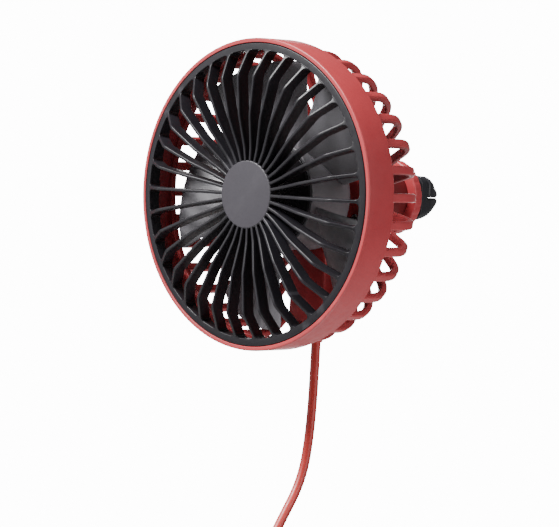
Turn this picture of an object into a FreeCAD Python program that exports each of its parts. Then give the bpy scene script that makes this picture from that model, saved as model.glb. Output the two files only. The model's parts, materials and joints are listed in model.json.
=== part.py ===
import FreeCAD, Part
import math
import os

import Sketcher
from FreeCAD import Placement, Rotation, Vector

# A clip-on fan for a car's air vent.  The row frame has its origin in the middle of the
# louvre slot between the clip's prongs, +Y pointing back into the vent and +Z up.  Every
# piece is drawn with Y measured back from the front rim, and its Placement moves it
# forward by "reach", the distance from the front rim to the louvre slot.

doc = FreeCAD.newDocument("vent_fan")

# ---------------------------------------------------------------- driving dimensions

SIZES = {
    "reach": 88.0,
    "gap": 0.3,
    # red front band and rear cage
    "band_radius": 53.0,
    "band_depth": 12.6,
    "band_inner": 50.2,
    "rebate_radius": 51.5,
    "rebate_depth": 2.3,
    "cage_radius": 51.2,
    "cage_corner": 28.2,
    "cage_round": 10.0,
    "cage_slope": 0.4,
    "cage_wall": 2.4,
    "rib_count": 34,
    "rib_width": 3.0,
    "rib_turn": 1.7,
    "hub_radius": 21.0,
    "vent_inner": 22.0,
    # front grille
    "grille_radius": 51.3,
    "slat_count": 34,
    "slat_width": 1.05,
    "slat_depth": 4.8,
    "slot_outer": 48.9,
    "slot_inner": 11.9,
    "slot_round": 1.5,
    "disc_radius": 11.4,
    "disc_rise": 3.0,
    "dip_radius": 16.0,
    "dip_rise": 3.35,
    "flat_radius": 27.0,
    "flat_rise": 5.6,
    "knee_radius": 40.5,
    "knee_rise": 5.8,
    "lip_rise": 0.8,
    "skirt_depth": 5.1,
    # impeller
    "impeller_turn": 34.0,
    "blade_count": 5,
    "impeller_hub": 18.8,
    "impeller_front": 10.0,
    "impeller_back": 29.0,
    "blade_tip": 46.0,
    "blade_thick": 1.5,
    "root_front": 11.5,
    "root_back": 25.0,
    "root_half": 7.6,
    "tip_front": 8.6,
    "tip_back": 19.0,
    "tip_half": 18.0,
    # motor
    "plate_front": 39.0,
    "plate_thick": 2.4,
    "shaft_radius": 1.0,
    "motor_radius": 12.2,
    "can_back": 52.6,
    "can_wall": 0.8,
    "bush_radius": 2.6,
    "bush_length": 2.2,
    "boss_radius": 3.1,
    # motor cover and ball joint
    "pod_radius": 18.0,
    "pod_back": 55.6,
    "pod_wall": 1.6,
    "neck_radius": 9.8,
    "neck_back": 70.9,
    "ball_centre": 68.0,
    "ball_radius": 6.0,
    "ball_room": 0.05,
    "stem_radius": 2.6,
    "nut_radius": 13.5,
    "nut_front": 69.5,
    "nut_back": 73.4,
    # vent clip
    "clip_front": 79.0,
    "clip_base": 3.6,
    "clip_back": 94.8,
    "clip_half": 8.1,
    "clip_nose": 3.4,
    "louvre_gap": 2.6,
    "pad_thick": 0.75,
    "journal_radius": 2.0,
    # control box below the hub
    "box_half": 8.0,
    "box_top": 17.0,
    "lid_top": 18.4,
    "lid_thick": 1.6,
    "box_bottom": 45.0,
    "box_front": 29.5,
    "box_back": 41.4,
    "box_wall": 1.6,
    "lead_y": 37.0,
    "lead_drop": 14.3,
    "lead_radius": 0.6,
    "button_radius": 3.2,
    "button_travel": 0.8,
    "button_height": 31.0,
    # cord
    "cord_radius": 1.65,
    "cord_length": 1200.0,
    "cord_exit": 35.6,
    "grommet_end": 51.0,
    "coil_centre_y": 26.0,
    "coil_centre_z": 143.0,
    "coil_radius": 18.0,
    "coil_section": 6.2,
    "plug_y": 44.8,
    "plug_top": 178.5,
    "plug_width": 15.6,
    "plug_thick": 7.8,
    "plug_length": 21.0,
    "relief_length": 11.0,
    "shell_width": 12.0,
    "shell_thick": 4.5,
    "shell_length": 12.2,
    "shell_sheet": 0.35,
}

sheet = doc.addObject("Spreadsheet::Sheet", "Sizes")
for row, (name, number) in enumerate(SIZES.items(), start=1):
    sheet.set(f"A{row}", name)
    sheet.set(f"B{row}", str(number))
    sheet.setAlias(f"B{row}", name)
doc.recompute()


class Size:
    """A length that knows its value and the sheet expression that gives it."""

    def __init__(self, value, text):
        self.value = value
        self.text = text

    def __add__(self, other):
        other = as_size(other)
        return Size(self.value + other.value, f"({self.text} + {other.text})")

    def __sub__(self, other):
        other = as_size(other)
        return Size(self.value - other.value, f"({self.text} - {other.text})")

    def __mul__(self, other):
        other = as_size(other)
        return Size(self.value * other.value, f"({self.text} * {other.text})")

    def __truediv__(self, other):
        other = as_size(other)
        return Size(self.value / other.value, f"({self.text} / {other.text})")

    def __neg__(self):
        return Size(-self.value, f"(-1 * {self.text})")

    def __radd__(self, other):
        return as_size(other) + self

    def __rsub__(self, other):
        return as_size(other) - self


def as_size(number):
    """Let plain numbers mix with sheet sizes."""
    return number if isinstance(number, Size) else Size(float(number), repr(float(number)))


class Sheet:
    """Every alias of the spreadsheet, as a Size."""

    def __getattr__(self, name):
        return Size(float(SIZES[name]), f"Sizes.{name}")


S = Sheet()
ZERO = as_size(0)
parts = []


def tangent_of(degrees):
    """Tangent of an angle in degrees."""
    return Size(math.tan(math.radians(degrees.value)), f"tan({degrees.text} * 1 deg)")


# ---------------------------------------------------------------- drawing helpers

def new_body(name):
    """A sub-part drawn back from the front rim and moved forward by the reach."""
    body = doc.addObject("PartDesign::Body", name)
    body.Label = name
    place(body)
    parts.append(body)
    return body


def place(piece, turn=None):
    """Put a finished sub-part in the row frame, turned about the fan's axis if asked."""
    angle = turn.value if turn else 0.0
    piece.Placement = Placement(Vector(0, -S.reach.value, 0), Rotation(Vector(0, 1, 0), angle))
    piece.setExpression("Placement.Base.y", (-S.reach).text)
    if turn:
        piece.setExpression("Placement.Rotation.Angle", f"{turn.text} * 1 deg")


def new_sketch(body, name, plane, offset=ZERO, turn=None):
    """A sketch on one of the body's own origin planes, offset along its normal and turned about it."""
    sketch = body.newObject("Sketcher::SketchObject", name)
    support = [item for item in body.Origin.OriginFeatures if item.Role == plane][0]
    sketch.AttachmentSupport = [(support, "")]
    sketch.MapMode = "FlatFace"
    angle = turn.value if turn else 0.0
    sketch.AttachmentOffset = Placement(Vector(0, 0, offset.value), Rotation(Vector(0, 0, 1), angle))
    sketch.setExpression("AttachmentOffset.Base.z", offset.text)
    if turn:
        sketch.setExpression("AttachmentOffset.Rotation.Angle", f"{turn.text} * 1 deg")
    return sketch


def bind(sketch, kind, *where, size):
    """Add one dimension to a sketch and tie it to the sheet."""
    index = sketch.addConstraint(Sketcher.Constraint(kind, *where, size.value))
    sketch.setExpression(f"Constraints[{index}]", size.text)


def pin_point(sketch, geometry, vertex, across, along):
    """Hold a sketch point at two sheet sizes from the origin."""
    if across.value == 0:
        sketch.addConstraint(Sketcher.Constraint("PointOnObject", geometry, vertex, -2))
    else:
        bind(sketch, "DistanceX", -1, 1, geometry, vertex, size=across)
    if along.value == 0:
        sketch.addConstraint(Sketcher.Constraint("PointOnObject", geometry, vertex, -1))
    else:
        bind(sketch, "DistanceY", -1, 1, geometry, vertex, size=along)


def corner_arc(before, here, after, radius):
    """Tangent points and centre of the arc that rounds one corner."""
    back = (before - here).normalize()
    ahead = (after - here).normalize()
    half = back.getAngle(ahead) / 2
    reach = radius / math.tan(half)
    centre = here + (back + ahead).normalize() * (radius / math.sin(half))
    return here + back * reach, here + ahead * reach, centre


def outline(sketch, corners):
    """A closed outline of straight sides, each corner (across, along, radius) sharp or rounded."""
    corners = [tuple(as_size(item) for item in (*corner, 0, 0)[:3]) for corner in corners]
    spots = [Vector(across.value, along.value, 0) for across, along, radius in corners]
    count = len(corners)
    starts, ends, arcs = list(spots), list(spots), {}
    for i, (across, along, radius) in enumerate(corners):
        if radius.value:
            first, last, centre = corner_arc(spots[i - 1], spots[i], spots[(i + 1) % count], radius.value)
            ends[i], starts[i] = first, last
            arcs[i] = (first, last, centre)
    sides = [
        sketch.addGeometry(Part.LineSegment(starts[i], ends[(i + 1) % count]))
        for i in range(count)
    ]
    for i, (across, along, radius) in enumerate(corners):
        before, here = sides[i - 1], sides[i]
        if i not in arcs:
            sketch.addConstraint(Sketcher.Constraint("Coincident", before, 2, here, 1))
            pin_point(sketch, here, 1, across, along)
            continue
        first, last, centre = arcs[i]
        turn_left = (spots[i] - spots[i - 1]).cross(spots[(i + 1) % count] - spots[i]).z > 0
        start, stop = (first, last) if turn_left else (last, first)
        circle = Part.Circle(centre, Vector(0, 0, 1), radius.value)
        arc = sketch.addGeometry(Part.ArcOfCircle(circle, circle.parameter(start), circle.parameter(stop)))
        first_end, last_end = (1, 2) if turn_left else (2, 1)
        sketch.addConstraint(Sketcher.Constraint("Tangent", before, 2, arc, first_end))
        sketch.addConstraint(Sketcher.Constraint("Tangent", arc, last_end, here, 1))
        bind(sketch, "Radius", arc, size=radius)
        point = sketch.addGeometry(Part.Point(spots[i]), True)
        sketch.addConstraint(Sketcher.Constraint("PointOnObject", point, 1, before))
        sketch.addConstraint(Sketcher.Constraint("PointOnObject", point, 1, here))
        pin_point(sketch, point, 1, across, along)


def circles(sketch, spots, radius):
    """One circle of the same radius at each spot."""
    for across, along in spots:
        across, along = as_size(across), as_size(along)
        circle = Part.Circle(Vector(across.value, along.value, 0), Vector(0, 0, 1), radius.value)
        item = sketch.addGeometry(circle)
        pin_point(sketch, item, 3, across, along)
        bind(sketch, "Radius", item, size=as_size(radius))


def finish_feature(body, feature):
    """Recompute a new feature and make it the body's result."""
    body.Tip = feature
    doc.recompute()
    return feature


def turned(body, name, corners, cut=False):
    """A piece turned about the fan's axis: corners are (back from the rim, radius, rounding)."""
    sketch = new_sketch(body, f"{name}_profile", "YZ_Plane")
    outline(sketch, corners)
    kind = "PartDesign::Groove" if cut else "PartDesign::Revolution"
    feature = body.newObject(kind, name)
    feature.Profile = sketch
    feature.ReferenceAxis = (sketch, ["H_Axis"])
    feature.Angle = 360.0
    return finish_feature(body, feature)


def raised(body, name, start, length, corners=None, spots=None, radius=None, cut=False, turn=None):
    """Push a front-view outline, or round spots, backwards from start by length."""
    sketch = new_sketch(body, f"{name}_outline", "XZ_Plane", -as_size(start), turn)
    if corners:
        outline(sketch, corners)
    else:
        circles(sketch, spots, as_size(radius))
    feature = body.newObject("PartDesign::Pocket" if cut else "PartDesign::Pad", name)
    feature.Profile = sketch
    feature.Length = as_size(length).value
    feature.setExpression("Length", as_size(length).text)
    feature.Reversed = not cut
    return finish_feature(body, feature)


def repeated(body, name, feature, count):
    """Copies of a feature evenly round the fan's axis."""
    pattern = body.newObject("PartDesign::PolarPattern", name)
    pattern.Originals = [feature]
    axis = [item for item in body.Origin.OriginFeatures if item.Role == "Y_Axis"][0]
    pattern.Axis = (axis, [""])
    pattern.Angle = 360.0
    pattern.Occurrences = int(count.value)
    pattern.setExpression("Occurrences", count.text)
    return finish_feature(body, pattern)


def box_corners(left, right, bottom, top, radius=0):
    """The four corners of a rectangle in front view."""
    return [(left, bottom, radius), (right, bottom, radius), (right, top, radius), (left, top, radius)]


def turned_part(name, corners, turn=None):
    """A whole sub-part that is one turned shape."""
    body = new_body(name)
    turned(body, f"{name}_turned", corners)
    if turn:
        place(body, turn)
    return body


def spaced(radius, count, first=0.0):
    """Front-view places evenly round the axis, clockwise from the first angle in degrees."""
    angles = [math.radians(first + 360 * i / count) for i in range(count)]
    return [(radius * math.sin(angle), radius * math.cos(angle)) for angle in angles]


MOTOR_SCREWS = spaced(8.0, 2, 90)
COVER_SCREWS = spaced(15.2, 3)
LID_SCREWS = [(-4.4, -23.6), (4.4, -23.6)]

# ---------------------------------------------------------------- red housing and grille

def window(count, bar, inner, outer, rounding):
    """One opening between two radial bars of a wheel, centred on +Z."""
    lean = tangent_of(as_size(180) / count)
    inner_half = inner * lean - bar / 2
    outer_half = outer * lean - bar / 2
    return [
        (-inner_half, inner),
        (inner_half, inner),
        (outer_half, outer, rounding),
        (-outer_half, outer, rounding),
    ]


def make_rear_housing():
    """Band, dome of ribs, hub plate and control box: one red moulding."""
    body = new_body("rear_housing")
    slope_in = S.cage_corner + S.cage_slope * (S.cage_radius - S.hub_radius)
    plate_back = S.plate_front + S.plate_thick
    inner_corner = S.cage_corner - S.cage_wall * 0.55
    wall_inner = S.cage_radius - S.cage_wall
    turned(body, "band_and_dome", [
        (0, S.rebate_radius),
        (0, S.band_radius, 0.9),
        (S.band_depth, S.band_radius, 0.5),
        (S.band_depth, S.cage_radius),
        (S.cage_corner, S.cage_radius, S.cage_round),
        (slope_in, S.hub_radius),
        (plate_back, S.hub_radius - 2),
        (plate_back, S.boss_radius + 0.2),
        (S.plate_front, S.boss_radius + 0.2),
        (S.plate_front, S.hub_radius - 4),
        (inner_corner, wall_inner, S.cage_round - S.cage_wall),
        (S.band_depth - 1.6, wall_inner),
        (S.band_depth - 1.6, S.band_inner),
        (S.rebate_depth, S.band_inner),
        (S.rebate_depth, S.rebate_radius),
    ])
    gap = window(S.rib_count, S.rib_width, S.vent_inner, S.band_radius + 2, 0)
    first = raised(body, "vent_gap", S.band_depth, 40, corners=gap, cut=True, turn=S.rib_turn)
    repeated(body, "vent_gaps", first, S.rib_count)
    raised(body, "control_box", S.box_front, S.box_back - S.box_front,
           corners=box_corners(-S.box_half, S.box_half, -S.box_bottom, -S.box_top, 2.0))
    floor = S.box_front + S.box_wall
    raised(body, "control_box_room", floor, S.box_back,
           corners=box_corners(S.box_wall - S.box_half, S.box_half - S.box_wall,
                               S.box_wall - S.box_bottom, -S.box_top - S.box_wall, 0.8), cut=True)
    raised(body, "lid_posts", floor, S.box_back - floor, spots=LID_SCREWS, radius=1.9)
    raised(body, "lid_post_holes", floor + 4, S.box_back, spots=LID_SCREWS, radius=0.7, cut=True)
    raised(body, "lead_notch", S.lead_y - 1.9, 3.8, corners=box_corners(-1.9, 1.9, -20, -16), cut=True)
    raised(body, "screw_holes", S.plate_front - 1, S.plate_thick + 2,
           spots=MOTOR_SCREWS + COVER_SCREWS, radius=1.1, cut=True)
    raised(body, "lead_hole", S.plate_front - 1, S.plate_thick + 2, spots=[(0, -S.lead_drop)], radius=1.9,
           cut=True)
    hole = new_sketch(body, "cord_hole_outline", "XY_Plane", -S.box_bottom - 1)
    circles(hole, [(0, S.cord_exit)], S.cord_radius + 1.1)
    cut = body.newObject("PartDesign::Pocket", "cord_hole")
    cut.Profile = hole
    cut.Length = 4.0
    cut.Reversed = True
    finish_feature(body, cut)
    return body


def make_front_grille():
    """Dished black front: a lipped ring, radial slats and a flat centre disc."""
    body = new_body("front_grille")
    depth = S.slat_depth
    turned(body, "dish", [
        (-S.disc_rise, 0),
        (-S.disc_rise, S.disc_radius),
        (-S.dip_rise, S.dip_radius, 8.0),
        (-S.flat_rise, S.flat_radius, 12.0),
        (-S.knee_rise, S.knee_radius, 5.0),
        (-S.lip_rise, S.slot_outer - 0.6, 2.0),
        (0, S.grille_radius, 0.3),
        (S.rebate_depth - S.gap, S.grille_radius),
        (S.rebate_depth - S.gap, S.slot_outer + 1.0),
        (S.skirt_depth, S.slot_outer + 1.0),
        (S.skirt_depth, S.slot_outer - 0.2),
        (depth - S.lip_rise - 0.6, S.slot_outer - 1.6),
        (depth - S.knee_rise, S.knee_radius, 5.0),
        (depth - S.flat_rise, S.flat_radius, 12.0),
        (depth - S.dip_rise, S.dip_radius, 8.0),
        (depth - S.disc_rise, S.disc_radius),
        (depth - S.disc_rise, 0),
    ])
    slot = window(S.slat_count, S.slat_width, S.slot_inner, S.slot_outer, S.slot_round)
    first = raised(body, "slot", -10, 40, corners=slot, cut=True)
    repeated(body, "slots", first, S.slat_count)
    return body


# ---------------------------------------------------------------- motor and its cover

def make_motor():
    """A flat brushed motor behind the hub plate."""
    front = S.plate_front + S.plate_thick
    inside = S.motor_radius - S.can_wall
    bush_hole = S.bush_radius + 0.05
    can = new_body("motor_can")
    turned(can, "can_turned", [
        (front - 2, bush_hole), (front - 2, S.boss_radius), (front, S.boss_radius),
        (front, S.motor_radius, 0.5), (S.can_back, S.motor_radius), (S.can_back, inside),
        (front + S.can_wall, inside), (front + S.can_wall, bush_hole),
    ])
    raised(can, "can_screw_holes", front - 1, 3, spots=MOTOR_SCREWS, radius=1.0, cut=True)
    turned_part("motor_end_cap", [
        (S.can_back - 1.2, bush_hole), (S.can_back - 1.2, inside - 0.1), (S.can_back, inside - 0.1),
        (S.can_back, S.motor_radius - 0.1), (S.can_back + 1.1, S.motor_radius - 0.1, 0.4),
        (S.can_back + 1.1, 0), (S.can_back + 0.5, 0), (S.can_back + 0.5, bush_hole),
    ])
    for name, bush_front in (("front_bush", front - 1.9), ("rear_bush", S.can_back - 1.8)):
        bush_back = bush_front + S.bush_length
        bore = S.shaft_radius + 0.05
        turned_part(name, [(bush_front, bore), (bush_front, S.bush_radius),
                           (bush_back, S.bush_radius), (bush_back, bore)])
    magnets = turned_part("motor_magnets", [
        (front + 1.2, inside - 1.8), (front + 1.2, inside - 0.1),
        (S.can_back - 2, inside - 0.1), (S.can_back - 2, inside - 1.8),
    ])
    raised(magnets, "magnet_gaps", 30, 40, corners=box_corners(-4, 4, -20, 20), cut=True)
    brushes = new_body("motor_brushes")
    for name, left in (("left_brush", -3.05), ("right_brush", 2.8)):
        raised(brushes, name, S.can_back - 3.4, 2.2, corners=box_corners(left, left + 0.25, -1, 1))


def make_motor_cover():
    """Pod over the motor, with a neck bored to seat the ball."""
    body = new_body("motor_cover")
    front = S.plate_front + S.plate_thick
    inside = S.pod_radius - S.pod_wall
    room = S.ball_radius + S.ball_room
    seat = room * math.sqrt(2)
    seat_bottom = S.ball_centre - S.ball_radius - 0.5
    turned(body, "pod_and_neck", [
        (front, inside), (front, S.pod_radius), (S.pod_back, S.pod_radius - 0.5, 1.8),
        (S.pod_back, S.neck_radius, 1.0), (S.neck_back, S.neck_radius), (S.neck_back, room),
        (S.ball_centre + room - seat, room),
        (seat_bottom, seat + seat_bottom - S.ball_centre), (seat_bottom, 0),
        (S.pod_back - S.pod_wall, 0), (S.pod_back - S.pod_wall, inside),
    ])
    raised(body, "screw_posts", front, S.pod_back - S.pod_wall - front, spots=COVER_SCREWS, radius=2.3)
    raised(body, "screw_post_holes", front, 8, spots=COVER_SCREWS, radius=0.85, cut=True)


def make_socket_nut():
    """Ring nut on the neck whose coned lip holds the ball."""
    bore = S.neck_radius + 0.1
    lip = S.neck_back + 0.1
    turned_part("socket_nut", [
        (S.nut_front, bore), (S.nut_front, S.nut_radius, 0.6), (S.nut_back, S.nut_radius, 0.8),
        (S.nut_back, S.stem_radius + 2.8), (lip + 1, S.stem_radius + 2.0),
        (lip, S.stem_radius + 2.78), (lip, bore),
    ])


# ---------------------------------------------------------------- rotor

def make_impeller():
    """Hub cup with five pitched blades, pressed on the motor shaft."""
    body = new_body("impeller")
    turned(body, "hub", [
        (S.impeller_front, 0), (S.impeller_front, S.impeller_hub, 0.6),
        (S.impeller_back, S.impeller_hub), (S.impeller_back, 0),
    ])
    sections = []
    for name, place_out, front, back, half in (
        ("blade_root", S.impeller_hub - 2.4, S.root_front, S.root_back, S.root_half),
        ("blade_end", S.blade_tip + 1, S.tip_front, S.tip_back, S.tip_half),
    ):
        sketch = new_sketch(body, name, "YZ_Plane", place_out)
        outline(sketch, [
            (front, half), (back, -half), (back + S.blade_thick, -half), (front + S.blade_thick, half),
        ])
        sections.append(sketch)
    blade = body.newObject("PartDesign::AdditiveLoft", "blade")
    blade.Profile = sections[0]
    blade.Sections = sections[1:]
    blade.Ruled = True
    finish_feature(body, blade)
    repeated(body, "blades", blade, S.blade_count)
    turned(body, "tip_trim", [
        (0, S.blade_tip), (0, S.blade_tip + 20), (40, S.blade_tip + 20), (40, S.blade_tip),
    ], cut=True)
    turned(body, "hub_hollow", [
        (S.impeller_front + 2.4, 3.6), (S.impeller_front + 2.4, S.impeller_hub - 1.4),
        (S.impeller_back + 1, S.impeller_hub - 1.4), (S.impeller_back + 1, 0),
        (S.impeller_front + 10, 0), (S.impeller_front + 10, 3.6),
    ], cut=True)
    turned(body, "cap_seat", [
        (S.impeller_front - 1, 0), (S.impeller_front - 1, S.impeller_hub - 1.3),
        (S.impeller_front + 0.9, S.impeller_hub - 1.3), (S.impeller_front + 0.9, 0),
    ], cut=True)
    raised(body, "shaft_bore", S.impeller_front, 20, spots=[(0, 0)], radius=S.shaft_radius, cut=True)
    place(body, S.impeller_turn)
    turned_part("hub_cap", [
        (S.impeller_front, 0), (S.impeller_front, S.impeller_hub - 1.5, 0.3),
        (S.impeller_front + 0.85, S.impeller_hub - 1.5), (S.impeller_front + 0.85, 0),
    ])


def make_rotor():
    """Shaft, laminated core, windings and commutator."""
    front = S.plate_front + S.plate_thick
    core_front = front + 2.2
    turned_part("motor_shaft", [
        (S.impeller_front + 1, 0), (S.impeller_front + 1, S.shaft_radius, 0.2),
        (S.can_back + 0.3, S.shaft_radius, 0.2), (S.can_back + 0.3, 0),
    ])
    core = turned_part("armature_core", [
        (core_front, S.shaft_radius), (core_front, 9.0), (core_front + 4.6, 9.0),
        (core_front + 4.6, S.shaft_radius),
    ])
    raised(core, "winding_slots", core_front - 1, 8, spots=spaced(6.4, 3), radius=2.1, cut=True)
    windings = new_body("armature_windings")
    raised(windings, "windings", core_front - 0.6, 5.8, spots=spaced(6.4, 3), radius=2.0)
    turned_part("commutator", [
        (core_front + 4.8, S.shaft_radius), (core_front + 4.8, 2.6), (core_front + 6.9, 2.6),
        (core_front + 6.9, S.shaft_radius),
    ])


# ---------------------------------------------------------------- ball stud and vent clip

def make_ball_stud():
    """Ball on a stem, with a journal that turns in the clip's base."""
    body = new_body("ball_stud")
    turned(body, "stem", [
        (S.ball_centre + 3, 0), (S.ball_centre + 3, S.stem_radius),
        (S.clip_front - 1.7, S.stem_radius, 0.6), (S.clip_front - 1.7, 4.4),
        (S.clip_front - 0.1, 4.4), (S.clip_front - 0.1, S.journal_radius),
        (S.clip_front + S.clip_base + 0.1, S.journal_radius), (S.clip_front + S.clip_base + 0.1, 0),
    ])
    ball = body.newObject("PartDesign::AdditiveSphere", "ball")
    ball.Radius = S.ball_radius.value
    ball.setExpression("Radius", S.ball_radius.text)
    ball.MapMode = "Deactivated"
    ball.Placement = Placement(Vector(0, S.ball_centre.value, 0), Rotation())
    ball.setExpression("Placement.Base.y", S.ball_centre.text)
    finish_feature(body, ball)
    bore_front = S.clip_front - 3
    raised(body, "screw_bore", bore_front, 12, spots=[(0, 0)], radius=1.05, cut=True)
    washer = S.clip_front + S.clip_base + 0.1
    turned_part("stud_washer", [
        (washer, 1.1), (washer, 3.2), (washer + 0.6, 3.2), (washer + 0.6, 1.1),
    ])
    turned_part("stud_screw", [
        (bore_front + 0.4, 0), (bore_front + 0.4, 1.0), (washer + 0.6, 1.0), (washer + 0.6, 2.3),
        (washer + 1.9, 2.3, 0.4), (washer + 1.9, 0),
    ])


def make_vent_clip():
    """Four springy prongs round a cross-shaped slot that grips a louvre either way."""
    body = new_body("vent_clip")
    half = S.clip_half
    raised(body, "prong_block", S.clip_front, S.clip_back - S.clip_front,
           corners=box_corners(-half, half, -half, half, 3.6))
    turned(body, "nose", [
        (S.clip_front + 3, half + 2.3), (S.clip_back - 4.4, half + 0.4, 5.0),
        (S.clip_back, S.clip_nose), (S.clip_back + 1, S.clip_nose),
        (S.clip_back + 1, half + 6), (S.clip_front + 3, half + 6),
    ], cut=True)
    slot_front = S.clip_front + S.clip_base + 0.4
    gap = S.louvre_gap / 2
    raised(body, "level_slot", slot_front, 20, corners=box_corners(-half - 2, half + 2, -gap, gap), cut=True)
    raised(body, "upright_slot", slot_front, 20, corners=box_corners(-gap, gap, -half - 2, half + 2), cut=True)
    raised(body, "screw_room", S.clip_front + S.clip_base, 4.4, spots=[(0, 0)], radius=3.6, cut=True)
    raised(body, "journal_bore", S.clip_front - 1, 8, spots=[(0, 0)], radius=S.journal_radius + 0.05, cut=True)
    grips = new_body("clip_grips")
    near, far = gap + 0.4, half - 3.0
    for turn, name in enumerate(("right_top", "left_top", "left_bottom", "right_bottom")):
        side = 1 if turn in (0, 3) else -1
        up = 1 if turn in (0, 1) else -1
        raised(grips, f"{name}_level", slot_front + 2.4, 6.4, corners=[
            (near * side, gap * up), (far * side, gap * up),
            (far * side, (gap - S.pad_thick) * up), (near * side, (gap - S.pad_thick) * up),
        ])


# ---------------------------------------------------------------- control box and screws

def make_controls():
    """Lid, circuit board, switch and push button in the box below the hub."""
    back = S.box_back
    lid = new_body("box_lid")
    raised(lid, "lid_plate", back, S.lid_thick,
           corners=box_corners(-S.box_half, S.box_half, -S.box_bottom, -S.lid_top, 2.0))
    button_spot = [(0, -S.button_height)]
    raised(lid, "button_hole", back - 1, 5, spots=button_spot, radius=S.button_radius + 0.25, cut=True)
    raised(lid, "lid_screw_holes", back - 1, 5, spots=LID_SCREWS, radius=0.95, cut=True)
    raised(lid, "lid_screw_seats", back + 0.8, 5, spots=LID_SCREWS, radius=1.75, cut=True)
    board_front = S.box_front + S.box_wall + 0.05
    board = new_body("circuit_board")
    raised(board, "board", board_front, 1.2, corners=box_corners(-6, 6, 3.6 - S.box_bottom, -25.7))
    switch = new_body("tact_switch")
    raised(switch, "switch_case", board_front + 1.2, 3.5,
           corners=box_corners(-3, 3, -S.button_height - 3, 3 - S.button_height))
    raised(switch, "plunger", board_front + 4.7, 1.0, spots=button_spot, radius=1.7)
    button = new_body("speed_button")
    stem_front = board_front + 5.75 + S.button_travel
    raised(button, "button_stem", stem_front, back - 1.5 - stem_front, spots=button_spot, radius=1.5)
    raised(button, "button_flange", back - 1.5, 1.4, spots=button_spot, radius=4.4)
    raised(button, "button_face", back - 0.5, S.lid_thick + 1.3, spots=button_spot, radius=S.button_radius)


def make_screws(name, spots, seat, head_radius, head_depth, shank_radius, shank_end):
    """A group of identical screws; the head lies on one side of the seat, the shank on the other."""
    body = new_body(name)
    forward = shank_end.value > seat.value
    head_start = seat - head_depth if forward else seat
    shank_start = seat if forward else shank_end
    length = shank_end - seat if forward else seat - shank_end
    for number, spot in enumerate(spots):
        raised(body, f"head_{number}", head_start, head_depth, spots=[spot], radius=head_radius)
        raised(body, f"shank_{number}", shank_start, length, spots=[spot], radius=shank_radius)


def make_all_screws():
    """Motor, cover and lid screws."""
    make_screws("motor_screws", MOTOR_SCREWS, S.plate_front, 1.7, 0.9, 0.95, S.plate_front + 3.1)
    make_screws("cover_screws", COVER_SCREWS, S.plate_front, 1.9, 1.0, 0.8, S.plate_front + 9.0)
    make_screws("lid_screws", LID_SCREWS, S.box_back + 0.8, 1.6, 0.75, 0.65, S.box_back - 5.0)


# ---------------------------------------------------------------- wires and cord

def rounded_path(points):
    """Straight runs joined by tangent arcs as large as the runs beside each point allow."""
    points = [Vector(*point) for point in points]
    edges, radii, start = [], [], points[0]
    for before, here, after in zip(points, points[1:], points[2:]):
        back, ahead = before - here, after - here
        turn = math.pi - back.getAngle(ahead)
        reach = 0.45 * min(back.Length, ahead.Length)
        radii.append(reach / math.tan(turn / 2))
        first = here + back.normalize() * reach
        last = here + ahead.normalize() * reach
        centre_way = (back + ahead).normalize()
        centre = here + centre_way * (radii[-1] / math.cos(turn / 2))
        edges.append(Part.LineSegment(start, first).toShape())
        edges.append(Part.Arc(first, centre - centre_way * radii[-1], last).toShape())
        start = last
    edges.append(Part.LineSegment(start, points[-1]).toShape())
    return Part.Wire(edges), radii


def tube(points, radius, label):
    """A round tube along a rounded path, checked against its section times its length."""
    wire, radii = rounded_path(points)
    way = Vector(*points[1]) - Vector(*points[0])
    ring = Part.Wire(Part.Circle(Vector(*points[0]), way, radius).toShape())
    solid = wire.makePipeShell([ring], True, False)
    expected = math.pi * radius ** 2 * wire.Length
    print(label, "length", round(wire.Length, 1), "radii", [round(value, 1) for value in radii],
          "volume ratio", round(solid.Volume / expected, 4))
    return solid, wire.Length


def new_shape(name, shape):
    """A sub-part whose shape is worked out here from the sheet."""
    piece = doc.addObject("Part::Feature", name)
    piece.Label = name
    piece.Shape = shape
    place(piece)
    parts.append(piece)
    return piece


def value(name):
    """A dimension read back from the sheet."""
    return float(sheet.get(name))


def make_lead_wires():
    """Two wires from the circuit board, through the hub plate, to the motor's end cap."""
    radius, bend = value("lead_radius"), value("lead_y")
    drop, floor = value("lead_drop"), value("box_front") + value("box_wall")
    wires = []
    for side in (-0.8, 0.8):
        route = [
            (side, floor + 1.6, -26.6),
            (side, floor + 4.2, -25.0),
            (side, bend, -21.0),
            (side, bend, -drop - 2.4),
            (side, bend + 2.8, -drop),
            (side, bend + 9.4, -drop - 0.3),
            (side, value("can_back") - 2.2, -drop + 0.2),
            (side, value("can_back") + 0.6, -value("motor_radius") - radius),
        ]
        wires.append(tube(route, radius, "lead wire")[0])
    new_shape("lead_wires", Part.makeCompound(wires))


def cord_route():
    """The hanging stretch: out of the box, straight down, then forward into the coil's front."""
    exit_y = value("cord_exit")
    coil_front = value("coil_centre_y") - value("coil_radius")
    return [
        (0, exit_y, 2 - value("box_bottom")),
        (0, exit_y, -62.0),
        (0, exit_y - 1.0, -83.0),
        (0, 31.5, -99.0),
        (0, 21.5, -113.0),
        (0, 12.5, -126.0),
        (0, coil_front, -value("coil_centre_z") + 2),
        (0.1, coil_front + 0.6, -value("coil_centre_z") - 6),
    ]


def tail_route():
    """From the bottom of the coil to the top of the plug."""
    centre_y = value("coil_centre_y")
    bottom = -value("coil_centre_z") - value("coil_radius")
    plug_y = value("plug_y")
    return [
        (0, centre_y + 2, bottom),
        (0, centre_y + 10.5, bottom - 1.4),
        (0, plug_y - 2.2, bottom - 7.0),
        (0, plug_y, bottom - 15.0),
        (0, plug_y, -value("plug_top") - 5),
    ]


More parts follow.
